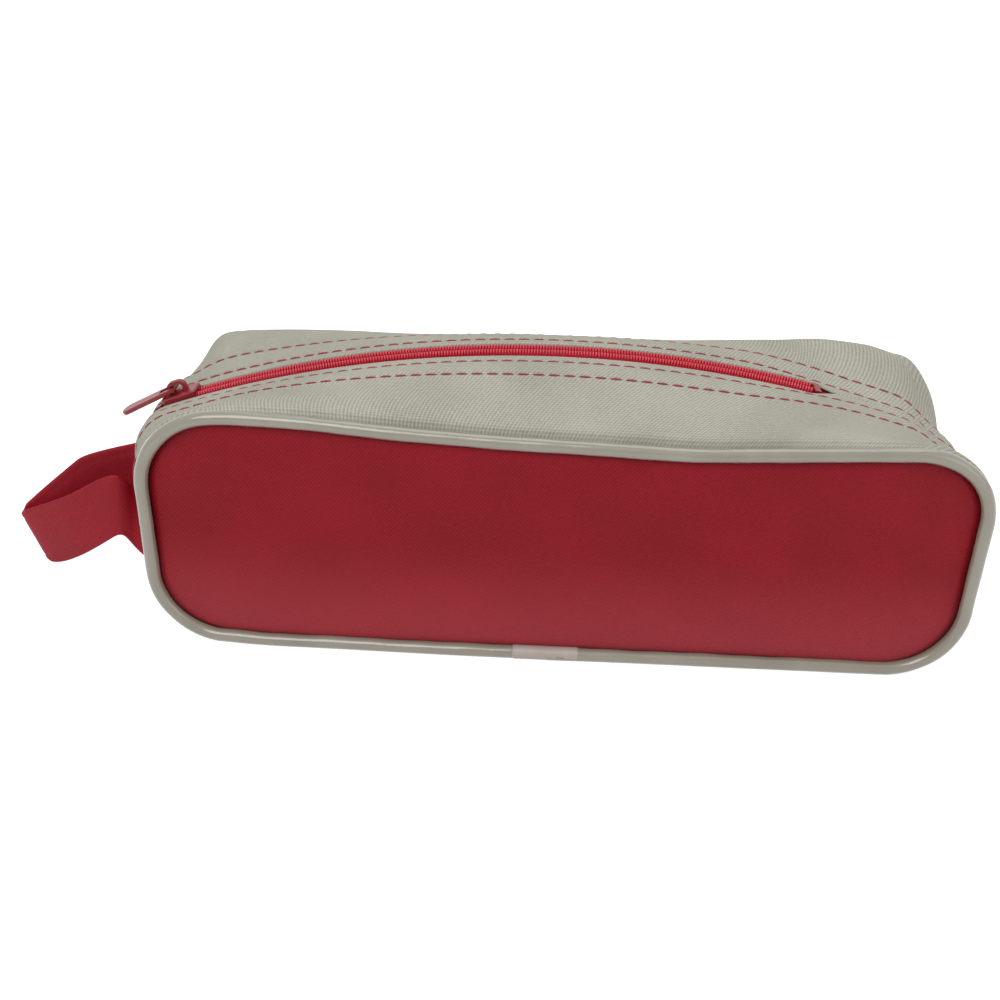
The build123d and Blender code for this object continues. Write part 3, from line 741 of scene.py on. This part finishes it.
def stitch_tree():
    """One bowed length of thread on every point of a line, turned to follow it."""
    made = bpy.data.node_groups.new("topstitches", "GeometryNodeTree")
    for label, kind, direction in (
        ("Row", "NodeSocketGeometry", "INPUT"), ("Pitch", "NodeSocketFloat", "INPUT"),
        ("Length", "NodeSocketFloat", "INPUT"), ("Thread", "NodeSocketFloat", "INPUT"),
        ("Yarn", "NodeSocketMaterial", "INPUT"), ("Stitches", "NodeSocketGeometry", "OUTPUT"),
    ):
        made.interface.new_socket(name=label, in_out=direction, socket_type=kind)
    given = add_node(made, "NodeGroupInput")
    spaced = add_node(made, "GeometryNodeResampleCurve", {
        "Curve": given.outputs["Row"], "Length": given.outputs["Pitch"]}, mode="LENGTH")
    ball = add_node(made, "GeometryNodeMeshUVSphere", {
        "Segments": 8, "Rings": 6, "Radius": given.outputs["Thread"]})
    share = add_node(made, "ShaderNodeMath", {
        0: given.outputs["Length"], 1: given.outputs["Thread"]}, operation="DIVIDE")
    half = add_node(made, "ShaderNodeMath", {0: share.outputs[0], 1: 0.5}, operation="MULTIPLY")
    size = add_node(made, "ShaderNodeCombineXYZ", {"X": 1.0, "Y": 1.0, "Z": half.outputs[0]})
    long = add_node(made, "GeometryNodeTransform", {"Geometry": ball.outputs[0], "Scale": size.outputs[0]})
    tangent = add_node(made, "GeometryNodeInputTangent")
    ahead = add_node(made, "FunctionNodeAlignRotationToVector", {"Vector": tangent.outputs[0]}, axis="Z")
    placed = add_node(made, "GeometryNodeInstanceOnPoints", {
        "Points": spaced.outputs[0], "Instance": long.outputs[0], "Rotation": ahead.outputs[0]})
    real = add_node(made, "GeometryNodeRealizeInstances", {0: placed.outputs[0]})
    smooth = add_node(made, "GeometryNodeSetShadeSmooth", {0: real.outputs[0]})
    dyed = add_node(made, "GeometryNodeSetMaterial", {
        "Geometry": smooth.outputs[0], "Material": given.outputs["Yarn"]})
    add_node(made, "NodeGroupOutput", {"Stitches": dyed.outputs[0]})
    return made


topstitches = stitch_tree()
STITCH_POINTS = 8 * 5 + 2
for side, name in ((-1, "front"), (1, "back")):
    rows, base, widths = strip_shape(side, [HEM_INNER - 0.05, HEM_INNER, HEM_OUTER, HEM_OUTER + 0.05])
    rows = settle(rows.reshape(-1, 3)).reshape(rows.shape)
    for row, column in (("inner", 1), ("outer", 2)):
        stitches = grow_on_line(f"{name}_{row}_stitches", rows[:, column] + (0, 0, 0.12), topstitches, {
            "Pitch": STITCH_PITCH * 0.001, "Length": 0.0036, "Thread": 0.00042, "Yarn": red_thread}, red_thread)
        fold_in_halves(stitches, side, "zip_tape", shape=STITCH_POINTS)

# ---- Seam bindings: a woven tape folded over the raw edges of each seam, inside the case. Only an
# open mouth shows them.
binding_tape, tree, shader = principled("woven_binding_tape", Roughness=0.85)
twill(tree, shader, light="a09d90", dark="7c7a6e", pitch=0.7, depth=0.08, mottle=0.15)
ring_seam = join_lines(under_seam, over_seam[::-1])
ring_middle = join_lines(under_middle, over_middle[::-1])
for side, name in ((-1, "front"), (1, "back")):
    across = side * np.linspace(30.2, 33.9, 6)
    widths = np.tile(across, (len(ring_seam), 1))
    base, normals = cloth_grid(ring_seam, ring_middle, widths)
    shape = settle((base - normals * 1.75).reshape(-1, 3))
    weave = np.stack([np.tile(run_length(base)[:, None], (1, 6)), widths], -1).reshape(-1, 2)
    binding = add_piece(f"{name}_binding_tape", shape, grid_faces(*widths.shape), binding_tape, weave)
    give_cloth(binding, 0.8)
    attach(binding, "case")
    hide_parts(f"{name}_seam_binding")

# ---- End facing: a patch of red canvas over the left end, sewn into the seams beside it and along
# the cross seam above. It carries the strap.
strap_canvas, tree, shader = principled("folded_red_canvas", Roughness=0.55, Specular_IOR_Level=0.22,
                                        Sheen_Weight=0.02, Sheen_Roughness=0.4)
twill(tree, shader, light="a81c2d", dark="8a131f", pitch=0.8, depth=0.06, mottle=0.3)
along = under_seam[:, 1]
patch = (np.arange(len(under_seam)) < 54) & (along >= 9.0)
widths = np.tile(np.linspace(-34.2, 34.2, 60), (int(patch.sum()), 1))
base, normals = cloth_grid(under_seam[patch], under_middle[patch], widths)
tucked = step(np.abs(widths), 31.3, TUCK_Y)
free = 1 - step(np.abs(widths), 27, 34)
lift = 0.85 - 1.5 * tucked + free * dented(base, 0.6)
weave = np.stack([np.tile(run_length(base)[:, None], (1, widths.shape[1])), widths], -1).reshape(-1, 2)
facing = add_piece("end_facing_canvas", settle((base + normals * lift[..., None]).reshape(-1, 3)),
                   grid_faces(*widths.shape), strap_canvas, weave)
give_cloth(facing, 0.8)
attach(facing, "case")
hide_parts("end_facing")

# ---- Strap: a band of the same red canvas, doubled and hemmed, 20 mm wide. Its two ends are sewn
# to the facing; its far end is creased flat and its near ply bulges towards the front.
STRAP_THICK = 1.24
# The band's two long edges, from the wall along the far ply, round the creased far end, back along
# the near ply, round its soft inner fold and back to the wall lower down.
upper_edge = [(-134.5, 3.6, 48.2), (-138.5, 3.9, 46.6), (-146.5, 5.0, 43.9), (-156.0, 5.5, 40.8), (-160.6, 5.3, 38.9),
              (-163.4, 4.7, 36.6), (-172.1, 3.0, 29.4), (-180.2, 1.4, 22.2), (-182.2, 0.0, 20.4), (-180.0, -1.4, 21.2),
              (-169.8, -4.0, 26.2), (-160.7, -6.5, 31.0), (-148.6, -8.6, 39.0), (-143.6, -9.4, 40.9),
              (-141.0, -8.0, 38.9), (-139.8, -5.2, 35.4), (-137.8, -3.4, 32.0), (-134.5, -2.6, 28.0)]
lower_edge = [(-134.0, 3.6, 27.4), (-136.6, 4.0, 25.6), (-142.0, 5.0, 24.2), (-149.0, 5.5, 21.8), (-152.4, 5.2, 20.2),
              (-155.0, 4.6, 18.2), (-163.8, 3.0, 11.0), (-173.6, 1.4, 3.8), (-176.2, 0.0, 1.5), (-174.0, -1.5, 1.7),
              (-168.4, -3.0, 3.4), (-159.3, -6.0, 9.2), (-149.6, -8.6, 16.6), (-144.4, -9.4, 20.4),
              (-142.6, -8.4, 17.4), (-140.8, -7.8, 13.6), (-137.0, -8.4, 10.0), (-130.0, -8.6, 9.6)]
band = np.stack([upper_edge, lower_edge], 1) + [[[-0.5, 0, 2.2], [-0.3, 0, 0.6]]]
for _ in range(4):
    cut = np.stack([0.75 * band[:-1] + 0.25 * band[1:], 0.25 * band[:-1] + 0.75 * band[1:]], 1)
    band = np.concatenate([band[:1], cut.reshape(-1, 2, 3), band[-1:]])
steps = np.concatenate([[0], np.cumsum(np.linalg.norm(np.diff(band.mean(1), axis=0), axis=1))])
even = np.linspace(0, steps[-1], 190)
band = np.stack([[np.interp(even, steps, band[:, edge, axis]) for axis in range(3)] for edge in (0, 1)])
band = band.transpose(2, 0, 1)
ahead = np.gradient(band.mean(1), axis=0)
across = band[:, 0] - band[:, 1]
face = np.cross(ahead, across)
face /= np.linalg.norm(face, axis=1)[:, None]
corner = np.linspace(0, pi, 7)
round_edge = 0.5 * STRAP_THICK / 20
section = [(w, 1.0) for w in np.linspace(-0.5 + round_edge, 0.5 - round_edge, 24)]
section += [(0.5 - round_edge + round_edge * np.sin(a), np.cos(a)) for a in corner[1:-1]]
section += [(w, -1.0) for w in np.linspace(0.5 - round_edge, round_edge - 0.5, 24)]
section += [(round_edge - 0.5 - round_edge * np.sin(a), -np.cos(a)) for a in corner[1:-1]]
section = np.array(section)
sewn_down = 0.26 * np.exp(-((np.abs(section[:, 0]) - 0.38) / 0.028) ** 2)
offset = 0.5 * STRAP_THICK * section[:, 1] * (1 - sewn_down)
slack = 0.35 * np.sin(even[:, None] / 9.0 + section[None, :, 0] * 2.5)
slack = slack * (step(even, 8, 20) * (1 - step(even, even[-1] - 20, even[-1] - 8)))[:, None]
turned_end = int(np.argmin(band.mean(1)[:, 0]))
across *= 1 - 0.11 * np.exp(-((even - even[turned_end]) / 1.6) ** 2)[:, None]
rows = (band.mean(1)[:, None] + across[:, None] * section[None, :, :1]
        + face[:, None] * (offset[None, :] + slack)[..., None])
count = section.shape[0]
strap = face_outwards(add_piece(
    "strap_band", rows.reshape(-1, 3), tube_faces(len(rows), count), strap_canvas,
    np.stack([np.repeat(even, count), np.tile(section[:, 0] * 20, len(rows))], 1)))
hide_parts("strap_loop", "strap_root")
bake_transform(strap)

# ---- Zip slider and its stops: die-cast zinc, dipped in red enamel. The slider keeps a narrow pull
# that hangs over the left end; a stop is crimped on at each end of the run.
slider_enamel, tree, shader = principled("red_enamel_on_zinc", Roughness=0.34, IOR=1.45, Coat_Weight=0.12,
                                         Coat_Roughness=0.15)
place = add_node(tree, "ShaderNodeTexCoord")
dip = add_node(tree, "ShaderNodeTexNoise", {"Vector": place.outputs["Object"], "Scale": 220.0, "Detail": 3.0})
enamel = add_node(tree, "ShaderNodeMix", {0: dip.outputs[0], 6: linear("78101b"), 7: linear("961a27")},
                  data_type="RGBA")
tree.links.new(enamel.outputs[2], shader.inputs["Base Color"])
orange_peel = add_node(tree, "ShaderNodeBump", {"Height": dip.outputs[0], "Strength": 0.25, "Distance": 0.0001})
tree.links.new(orange_peel.outputs[0], shader.inputs["Normal"])
for node_name in ("slider_body", "slider_crown", "slider_pull", "zip_top_stops", "zip_bottom_stop"):
    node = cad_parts[node_name]
    node.data.materials.clear()
    node.data.materials.append(slider_enamel)
